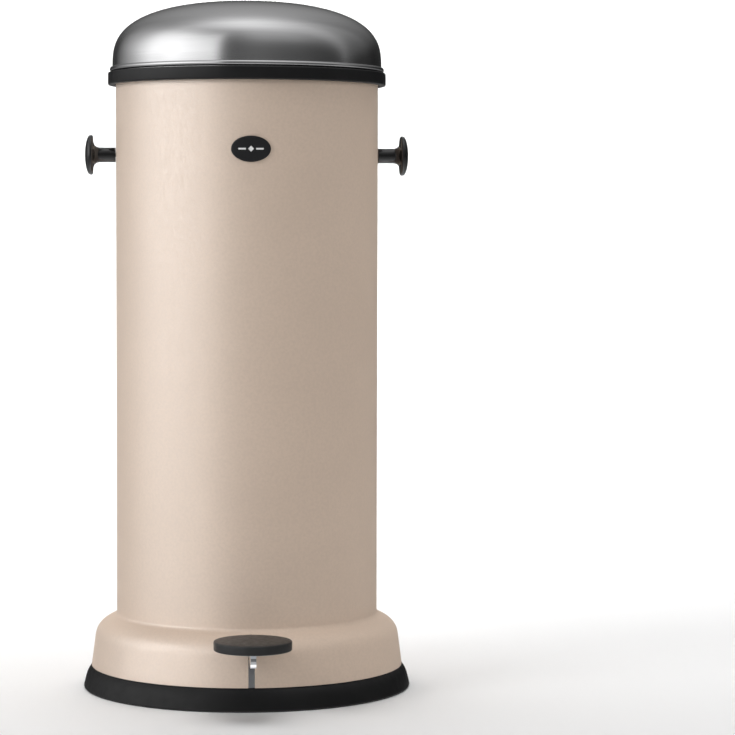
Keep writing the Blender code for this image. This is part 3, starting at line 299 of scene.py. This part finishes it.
def put(name, bm, material, body, *nodes, slot=None, angle=35):
    """Makes the mesh a visible piece that rides on a body and stands for the CAD nodes named."""
    bmesh.ops.recalc_face_normals(bm, faces=bm.faces)
    mesh = bpy.data.meshes.new(name)
    bm.to_mesh(mesh)
    bm.free()
    mesh.shade_smooth()
    mesh.set_sharp_from_angle(angle=math.radians(angle))
    obj = bpy.data.objects.new(name, mesh)
    bpy.context.scene.collection.objects.link(obj)
    mesh.materials.append(FINISHES[material] if material in FINISHES else material)
    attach(obj, body)
    if nodes:
        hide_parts(*nodes)
    return obj


def turned(outline, steps=AROUND, middle=(0, None)):
    """A closed outline of (radius, height) turned round an upright axis; a zero radius closes at the axis."""
    x, y = middle[0], AXIS_Y if middle[1] is None else middle[1]
    bm = bmesh.new()
    rings = []
    for r, z in soften(outline):
        if r < 1e-6:
            rings.append([bm.verts.new((x, y, z * MM))])
            continue
        turns = [math.tau * i / steps for i in range(steps)]
        reach = r * MM
        places = [(x + reach * math.cos(t), y + reach * math.sin(t), z * MM) for t in turns]
        rings.append([bm.verts.new(place) for place in places])
    for low, high in zip(rings, rings[1:] + rings[:1]):
        if len(low) == 1 and len(high) == 1:
            continue
        for i in range(steps):
            j = (i + 1) % steps
            corners = [low[i % len(low)], low[j % len(low)], high[j % len(high)], high[i % len(high)]]
            bm.faces.new(list(dict.fromkeys(corners)))
    return bm


def cuboid(low, high):
    bm = bmesh.new()
    bmesh.ops.create_cube(bm, size=1)
    low, high = Vector(low), Vector(high)
    for vert in bm.verts:
        vert.co = Vector([(low[i] + high[i]) / 2 + vert.co[i] * (high[i] - low[i]) for i in range(3)])
    return bm


def carve(obj, *cutters):
    """Cuts each closed mesh out of the piece, for good."""
    helpers = []
    for bm in cutters:
        bmesh.ops.recalc_face_normals(bm, faces=bm.faces)
        mesh = bpy.data.meshes.new("cutter")
        bm.to_mesh(mesh)
        bm.free()
        helper = bpy.data.objects.new("cutter", mesh)
        bpy.context.scene.collection.objects.link(helper)
        helpers.append(helper)
        modifier = obj.modifiers.new("cut", "BOOLEAN")
        modifier.object = helper
        modifier.solver = "EXACT"
    cut_mesh = bpy.data.meshes.new_from_object(obj.evaluated_get(bpy.context.evaluated_depsgraph_get()))
    obj.modifiers.clear()
    obj.data = cut_mesh
    obj.data.set_sharp_from_angle(angle=math.radians(35))
    for helper in helpers:
        bpy.data.objects.remove(helper)
    return obj


# ---- Can ----------------------------------------------------------------------------------------

SKIRT_R = outer_radius("base_skirt")
RING_R = outer_radius("base_ring")
SHOULDER = 44.0
SHOULDER_TOP = SKIRT_TOP - 1.5
COLLAR_R = BODY_R + 1.3
SLOT_HALF = 0.00275
SLOT_TOP = 58.5
NOTCH_HALF = 0.0007


def skirt_radius(z):
    """A steep cone with a rounded shoulder that runs up to the body."""
    cone = SKIRT_R - 0.13 * max(z - RING_H, 0)
    if z <= SHOULDER:
        return cone
    share = (z - SHOULDER) / (SHOULDER_TOP - SHOULDER)
    drop = SKIRT_R - 0.13 * (SHOULDER_TOP - RING_H) - COLLAR_R
    return cone - drop * share**3.35


def quick_curve(start, control, end, steps):
    """Points of a curve from start to end that leans towards the control point, without the start."""
    one, two, three = Vector(start), Vector(control), Vector(end)
    shares = [i / steps for i in range(1, steps + 1)]
    return [tuple(one * (1 - t) ** 2 + two * (2 * t * (1 - t)) + three * t * t) for t in shares]


def make_shell():
    bead = (BODY_R - 2.1, BODY_TOP - 2.1)
    wall = [(BODY_R - 0.8, BODY_FOOT), (BODY_R, BODY_FOOT)]
    wall += [(BODY_R, BODY_FOOT + (bead[1] - BODY_FOOT) * i / 12) for i in range(1, 12)]
    shell = put("body_wall", turned(wall + arc(bead, 2.1, 0, 308, 20)), "body_paint", "can", "body_shell")
    crank_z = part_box("crank_pin")[0].z
    rear = AXIS_Y + BODY_R * MM
    slot = cuboid((-0.008, rear - 0.01, crank_z - 0.01025), (0.008, rear + 0.01, BODY_TOP * MM + 0.01))
    carve(shell, slot)


def make_skirt():
    last = SHOULDER_TOP - 1.5
    heights = [SKIRT_FOOT, 14, RING_H, 26, 32, 38] + [
        SHOULDER + (last - SHOULDER) * i / 28
        for i in range(29)
    ]
    outer = [(skirt_radius(z), z) for z in heights]
    wall = BODY_R + 0.05
    inner = [(r - 1.0, z) for r, z in outer[:-4]] + [(wall, last - 1.5)]
    outer += quick_curve(outer[-1], (wall, last + 2.2), (wall, last + 4.6), 12)
    skirt = put("skirt", turned(outer + inner[::-1]), "body_paint", "can", "base_skirt", angle=50)
    front, rear = AXIS_Y - SKIRT_R * MM * 1.1, AXIS_Y - BODY_R * MM + 0.0005
    low, shut, high = ((z * MM) for z in (RING_H - 1.4, SLOT_TOP, SHOULDER_TOP - 1.2))
    carve(skirt, cuboid((-SLOT_HALF, front, low), (SLOT_HALF, rear, shut)))
    carve(skirt, cuboid((-NOTCH_HALF, front, shut - 1 * MM), (NOTCH_HALF, rear, high)))


def make_ring():
    side = [(RING_R - 0.23 * z - 3.8 * (z / RING_H) ** 5, z) for z in [RING_H * i / 24 for i in range(2, 25)]]
    inner = SKIRT_R - 8.3
    outline = [(inner, 0, 0.8), (RING_R - 1.1, 0, 0.8), *side, (SKIRT_R + 0.3, RING_H - 0.2, 0.4)]
    outline += [(SKIRT_R + 0.3, SKIRT_FOOT - 0.3), (SKIRT_R - 1.3, SKIRT_FOOT - 0.3)]
    outline += [(SKIRT_R - 1.3, SKIRT_FOOT + 5.7, 0.8), (inner, SKIRT_FOOT + 5.7, 0.8)]
    put("foot_ring", turned(outline), "foot_rubber", "can", "base_ring")


def sideways(bm, height, side):
    """Turns a piece made upright about the can's axis so that it points out sideways at a height."""
    turn = Matrix.Rotation(side * math.pi / 2, 4, "Y")
    place = Matrix.Translation((0, AXIS_Y, height)) @ turn @ Matrix.Translation((0, -AXIS_Y, 0))
    bmesh.ops.transform(bm, matrix=place, verts=bm.verts)
    return bm


def make_knobs():
    low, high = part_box("handle_right")
    root, end = low.x / MM, high.x / MM
    knob_r = (high.z - low.z) / 2 / MM
    knob = root + 20.0
    outline = [
        (0, root), (6.7, root, 0.4), (6.6, root + 8), (6.7, knob - 5.2), (7.2, knob - 3.2),
        (8.6, knob - 1.2),
    ]
    outline += [
        (11.2, knob - 0.1), (14.0, knob + 0.15), (knob_r - 1.1, knob + 0.3),
        (knob_r - 0.25, knob + 0.9),
    ]
    outline += [(knob_r, knob + 1.8), (knob_r - 0.15, knob + 2.9)]
    swell = [(math.pi / 2) * (0.12 + 0.88 * i / 16) for i in range(17)]
    outline += [(knob_r * math.cos(a), knob + 2.6 + (end - knob - 2.6) * math.sin(a)) for a in swell[:-1]]
    outline.append((0, end))
    middle = (low.z + high.z) / 2
    for name, side in (("left", -1), ("right", 1)):
        shape = sideways(turned(outline, 96), middle, side)
        put(f"knob_{name}", shape, "knob_gloss", "can", f"handle_{name}", angle=60)


def oval_plate(half_w, half_h, base, thickness, edge, steps=128):
    """A thin oval bent round the front of the body, with a rounded rim; its outline is an ellipse."""
    low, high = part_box("badge")
    middle = (low.z + high.z) / 2
    layers = [(1, 0)]
    layers += [
        (1 - edge * (1 - math.cos(a)), thickness - edge * 16 * (1 - math.sin(a)))
        for a in (0, 0.4, 0.8, 1.2)
    ]
    layers += [(1 - edge - 0.1 * i, thickness) for i in range(9)]
    bm = bmesh.new()
    rings = []
    for share, depth in layers:
        ring = []
        for i in range(steps):
            t = math.tau * i / steps
            x = half_w * share * math.cos(t)
            out = base + depth
            y = AXIS_Y - math.sqrt(out**2 - x**2) * MM
            ring.append(bm.verts.new((x * MM, y, middle + half_h * share * math.sin(t) * MM)))
        rings.append(ring)
    for near, far in zip(rings, rings[1:]):
        for i in range(steps):
            bm.faces.new((near[i - 1], near[i], far[i], far[i - 1]))
    bm.faces.new(rings[0])
    bm.faces.new(rings[-1][::-1])
    return bm


def bent_bar(points, base, depth):
    """A closed flat shape bent round the body's front: points are (across, up) from the badge's middle."""
    low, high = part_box("badge")
    middle = (low.z + high.z) / 2
    bm = bmesh.new()
    layers = []
    for out in (base, base + depth):
        depths = [AXIS_Y - math.sqrt(out**2 - x**2) * MM for x, z in points]
        places = [(x * MM, y, middle + z * MM) for (x, z), y in zip(points, depths)]
        layers.append([bm.verts.new(place) for place in places])
    bm.faces.new(layers[0])
    bm.faces.new(layers[1][::-1])
    for i in range(len(points)):
        bm.faces.new((layers[0][i - 1], layers[0][i], layers[1][i], layers[1][i - 1]))
    return bm


def make_badge():
    low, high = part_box("badge")
    half_w, half_h = high.x / MM, (high.z - low.z) / 2 / MM
    plate = put(
        "badge_plate", oval_plate(half_w, half_h, BODY_R + 0.3, 1.5, 0.05), "badge_black", "can",
        "badge",
    )
    face = BODY_R + 1.78
    lozenge = [(2.6 * math.cos(t), 2.6 * math.sin(t)) for t in [math.tau * i / 4 for i in range(4)]]
    shapes = {"emblem_middle": lozenge}
    for name, side in (("left", -1), ("right", 1)):
        ends = [
            (side * 4.4, -0.75), (side * 10.6, -0.75), (side * 11.2, 0), (side * 10.6, 0.75),
            (side * 4.4, 0.75),
        ]
        shapes[f"emblem_{name}"] = ends
    for name, points in shapes.items():
        mark = put(name, bent_bar(points, face, 0.14), EMBLEM_WHITE, "can")
        bevel = mark.modifiers.new("edge", "BEVEL")
        bevel.width = 0.05 * MM
        bevel.segments = 2
    return plate


# ---- Pedal --------------------------------------------------------------------------------------


def make_pedal():
    low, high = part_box("pedal_pad")
    x, y = 0, (low.y + high.y) / 2
    r = (high.y - low.y) / 2 / MM
    bottom, top = low.z / MM, high.z / MM
    recess = outer_radius("pedal_plate") + 0.3
    outline = [
        (0, top - 8.0), (recess, top - 8.0), (recess, bottom, 0.3), (r - 0.2, bottom, 1.1),
        (r, top - 1.5, 1.3),
    ]
    outline += [
        (r - 2.2, top - 0.95, 0.8), (r * 0.8, top - 0.55), (r * 0.62, top - 0.3), (r * 0.4, top - 0.12),
    ]
    outline += [(r * 0.2, top - 0.03), (0, top)]
    put("tread_pad", turned(outline, 160, (x, y)), "pad_rubber", "pedal", "pedal_pad", angle=50)


# ---- Lid ----------------------------------------------------------------------------------------

DOME_R = BODY_R + 3.0
DOME_FOOT = BODY_TOP + 11.0


def dome_point(angle, inset=0):
    r = (DOME_R - inset) * math.cos(angle) ** (2 / 2.352)
    return r, DOME_FOOT + (DOME_TOP - DOME_FOOT - inset) * math.sin(angle) ** (2 / 2.86)


def make_lid():
    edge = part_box("lid_dome")[0].z / MM
    angles = [math.pi / 2 * (i / 64) ** 1.5 for i in range(1, 64)]
    lip = arc((DOME_R, DOME_FOOT - 2.4), 2.4, -65, 90, 18)
    outer = [(DOME_R, edge), (DOME_R, DOME_FOOT - 4.8), *lip] + [dome_point(a) for a in angles] + [
        (0, DOME_TOP),
    ]
    inner = [(DOME_R - 0.8, edge), (DOME_R - 0.8, DOME_FOOT)] + [dome_point(a, 0.8) for a in angles] + [
        (0, DOME_TOP - 0.8),
    ]
    put("dome", turned(outer + inner[::-1]), "lid_steel", "lid", "lid_dome")
    band_r = outer_radius("lid_seal_band")
    seat = BODY_TOP + 0.3
    outline = [
        (BODY_R + 1, BAND_LOW, 0.8), (band_r, BAND_LOW, 1.6), (band_r, BAND_HIGH, 1.3),
        (DOME_R + 0.3, BAND_HIGH),
    ]
    outline += [
        (DOME_R + 0.3, seat + 2.7), (BODY_R - 3.8, seat + 2.7, 0.6), (BODY_R - 3.8, seat, 0.6),
        (BODY_R + 1, seat),
    ]
    put("seal_band", turned(outline), "band_rubber", "lid", "lid_seal_band")


# ---- Bucket -------------------------------------------------------------------------------------


def make_bucket():
    low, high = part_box("bucket")
    foot, top = low.z / MM, high.z / MM
    rim_r = outer_radius("bucket")
    wall_r, foot_r = rim_r - 2.0, rim_r - 6.0
    outline = [
        (0, foot + 0.8), (foot_r - 14, foot + 0.8, 0.5), (foot_r - 12, foot, 0.5),
        (foot_r - 2.5, foot, 2.0),
    ]
    outline += [
        (foot_r, foot + 4, 3.0), (wall_r, top - 4.2), (wall_r, top - 4.0, 0.4), (rim_r, top - 4.0, 0.8),
    ]
    outline += [
        (rim_r, top, 1.4), (wall_r - 1.2, top, 1.0), (foot_r - 1.2, foot + 5, 4.0),
        (foot_r - 5, foot + 1.3, 1.0),
    ]
    outline += [(0, foot + 1.9)]
    put("liner", turned(outline, 192), "bucket_plastic", "inner_bucket", "bucket", angle=40)


# ---- Carried-over frame pieces ------------------------------------------------------------------


def finish_frame():
    """The pieces whose CAD shape is right keep it, with rounded edges and their slot's finish."""
    for obj in NODES.values():
        slot = obj.material_slots[0].material.name.split(".")[0]
        for holder in obj.material_slots:
            holder.material = FINISHES[slot]
        if obj is NODES["pedal_arm"]:
            obj.material_slots[0].material = lever_steel_and_shade()
        weld = obj.modifiers.new("weld", "WELD")
        weld.merge_threshold = 0.005 * MM
        bevel = obj.modifiers.new("edge", "BEVEL")
        bevel.width = 0.25 * MM
        bevel.segments = 2
        bevel.limit_method = "ANGLE"
        bevel.angle_limit = math.radians(38)


# ---- Studio -------------------------------------------------------------------------------------


def make_studio():
    """A white sweep that the bin stands on, curving up behind it."""
    bm = bmesh.new()
    bend = [
        (2.2 + 1.2 * math.sin(t), 1.2 - 1.2 * math.cos(t))
        for t in [math.pi / 2 * i / 16 for i in range(17)]
    ]
    outline = [(-4.0, 0), (-1.0, 0), (0.5, 0), *bend, (3.4, 5.0)]
    rows = [[bm.verts.new((x, y, z)) for x in (-6, 6)] for y, z in outline]
    for near, far in zip(rows, rows[1:]):
        bm.faces.new((near[0], near[1], far[1], far[0]))
    mesh = bpy.data.meshes.new("sweep")
    bm.to_mesh(mesh)
    bm.free()
    mesh.shade_smooth()
    sweep = bpy.data.objects.new("sweep", mesh)
    bpy.context.scene.collection.objects.link(sweep)
    mesh.materials.append(even_finish("sweep_paper", (0.9, 0.9, 0.9), 0.9, (2, 0.005), (300, 0.01), 0.03))
    sweep.visible_glossy = False


def softbox(name, place, target, size, power, glossy=None):
    """A soft light; glossy says whether only reflections see it (True) or everything else does (False)."""
    data = bpy.data.lights.new(name, "AREA")
    data.shape = "RECTANGLE"
    data.size, data.size_y = size
    data.energy = power
    light = bpy.data.objects.new(name, data)
    bpy.context.scene.collection.objects.link(light)
    light.location = place
    light.rotation_euler = (Vector(target) - Vector(place)).to_track_quat("-Z", "Y").to_euler()
    light.visible_camera = False
    if glossy is not None:
        light.visible_glossy = glossy
        light.visible_diffuse = not glossy
    return light


# Brightness that polished surfaces see, by direction. Angles are in degrees.
# The arch runs from the front horizon (0) over the top (90) to the rear horizon (180).
ARCH = [
    (0, 0.12), (24, 0.14), (42, 0.26), (60, 0.5), (78, 1.1), (92, 1.25), (106, 0.8), (118, 0.55),
    (143, 0.4),
]
ARCH += [(156, 0.25), (168, 0.06), (180, 0.04)]
# The window is the tall soft light on the left: by bearing from the front, and by height.
WINDOW_BEARING = [
    (-150, 0), (-132, 0.3), (-115, 0.65), (-95, 1.4), (-68, 1.95), (-42, 1.4), (-27, 1.25), (-24, 0.0),
]
WINDOW_HEIGHT = [(-12, 0.0), (0, 0.8), (10, 1.0), (22, 0.9), (34, 0.75), (42, 0.55), (52, 0.2), (62, 0.0)]
# The wall on the right gives a dim grey, paler higher up.
WALL_BEARING = [(-12, 0.0), (10, 0.7), (44, 0.95), (70, 0.5), (104, 0.3), (122, 0.4), (134, 0.0)]
WALL_HEIGHT = [(-6, 0.0), (0, 0.05), (12, 0.07), (22, 0.11), (36, 0.26), (50, 0.27), (66, 0.14), (84, 0.0)]
# The floor, for what faces down.
BELOW = [(-90, 0.45), (-30, 0.32), (-8, 0.12), (-1, 0.0)]


def ramp(shader, angle, stops):
    """A brightness that follows an angle through the stops given."""
    first, last = stops[0][0], stops[-1][0]
    share = shader.spread(angle, 0, 1, first, last)
    node = shader.node("ShaderNodeValToRGB", {0: share})
    points = node.color_ramp.elements
    for i, (at, value) in enumerate(stops):
        place = (at - first) / (last - first)
        if i < 2:
            point = points[i]
            point.position = place
        else:
            point = points.new(place)
        point.color = (value / 2, value / 2, value / 2, 1)
    return shader.maths("MULTIPLY", node.outputs[0], 2.0)


class Surroundings(Shader):
    """The same ways to wire nodes, for the world."""

    def __init__(self, world):
        self.tree = world.node_tree
        self.main = self.tree.nodes["Background"]
        self.place = self.node("ShaderNodeTexCoord").outputs["Generated"]


def make_world():
    """The studio as polished surfaces reflect it."""
    world = bpy.data.worlds.new("studio")
    bpy.context.scene.world = world
    world.use_nodes = True
    world.cycles_visibility.diffuse = False
    room = Surroundings(world)
    x, y, z = room.node("ShaderNodeSeparateXYZ", {0: room.place}).outputs
    front = room.maths("MULTIPLY", y, -1.0)

    def degrees(value):
        return room.maths("MULTIPLY", value, 180 / math.pi)

    arch = ramp(room, degrees(room.maths("ARCTAN2", room.maths("ABSOLUTE", z), front)), ARCH)
    sideways_share = room.maths("DIVIDE", room.maths("ABSOLUTE", x), 0.52)
    narrowing = room.maths("ADD", room.maths("POWER", sideways_share, 2.0), 1.0)
    arch = room.maths("DIVIDE", arch, narrowing)
    bearing = degrees(room.maths("ARCTAN2", x, front))
    height = degrees(room.maths("ARCSINE", z))
    window = room.maths("MULTIPLY", ramp(room, bearing, WINDOW_BEARING), ramp(room, height, WINDOW_HEIGHT))
    wall = room.maths("MULTIPLY", ramp(room, bearing, WALL_BEARING), ramp(room, height, WALL_HEIGHT))
    total = room.maths(
        "ADD", room.maths("ADD", arch, window), room.maths("ADD", wall, ramp(room, height, BELOW)),
    )
    room.wire(total, "Color")


def make_lights():
    make_world()
    softbox("key", (-2.3, -1.5, 1.6), (0, 0, 0.3), (1.4, 1.4), 34, False)
    softbox("overhead", (0.1, 0.2, 2.8), (0, 0.1, 0), (2.6, 2.2), 58, False)
    fills = [softbox("front_fill", (0.6, -3.2, 1.2), (0, 0, 0.3), (2.6, 2.0), 22, False)]
    fills.append(softbox("right_fill", (2.6, -0.8, 1.2), (0, 0, 0.3), (1.8, 1.8), 20, False))
    bin_only = bpy.data.collections.new("bin_only")
    for obj in bpy.context.scene.objects:
        if obj.type == "MESH" and obj.name != "sweep":
            bin_only.objects.link(obj)
    for fill in fills:
        fill.light_linking.receiver_collection = bin_only
    softbox("back", (0.0, 1.6, 2.4), (0, 3.2, 0.8), (4.0, 1.0), 90, False)
    painted = bpy.data.collections.new("painted")
    for name in ("body_wall", "skirt"):
        painted.objects.link(bpy.data.objects[name])
    sheen = softbox("paint_sheen", (-2.1, -0.95, 0.7), (0, 0, 0.35), (3.2, 2.4), 270, True)
    sheen.light_linking.receiver_collection = painted


def make_camera():
    """Almost level, from the front, panned so that the bin stands left of the middle."""
    yaw, pan, tilt, roll = (math.radians(angle) for angle in (1.6, 2.53, 3.07, 0.14))
    reach = 2.473
    place = Vector((-math.sin(yaw) * reach, AXIS_Y - math.cos(yaw) * reach, 0.422))
    heading = yaw + pan
    ahead = Vector((math.sin(heading) * math.cos(tilt), math.cos(heading) * math.cos(tilt), -math.sin(tilt)))
    data = bpy.data.cameras.new("camera")
    data.lens = 133.6
    data.sensor_width = 36
    camera = bpy.data.objects.new("camera", data)
    bpy.context.scene.collection.objects.link(camera)
    turn = ahead.to_track_quat("-Z", "Y").to_matrix().to_4x4() @ Matrix.Rotation(roll, 4, "Z")
    camera.matrix_world = Matrix.Translation(place) @ turn
    bpy.context.scene.camera = camera
    bpy.context.scene.view_settings.view_transform = "Standard"


finish_frame()
make_shell()
make_skirt()
make_ring()
make_knobs()
make_badge()
make_pedal()
make_lid()
make_bucket()
make_studio()
make_lights()
make_camera()
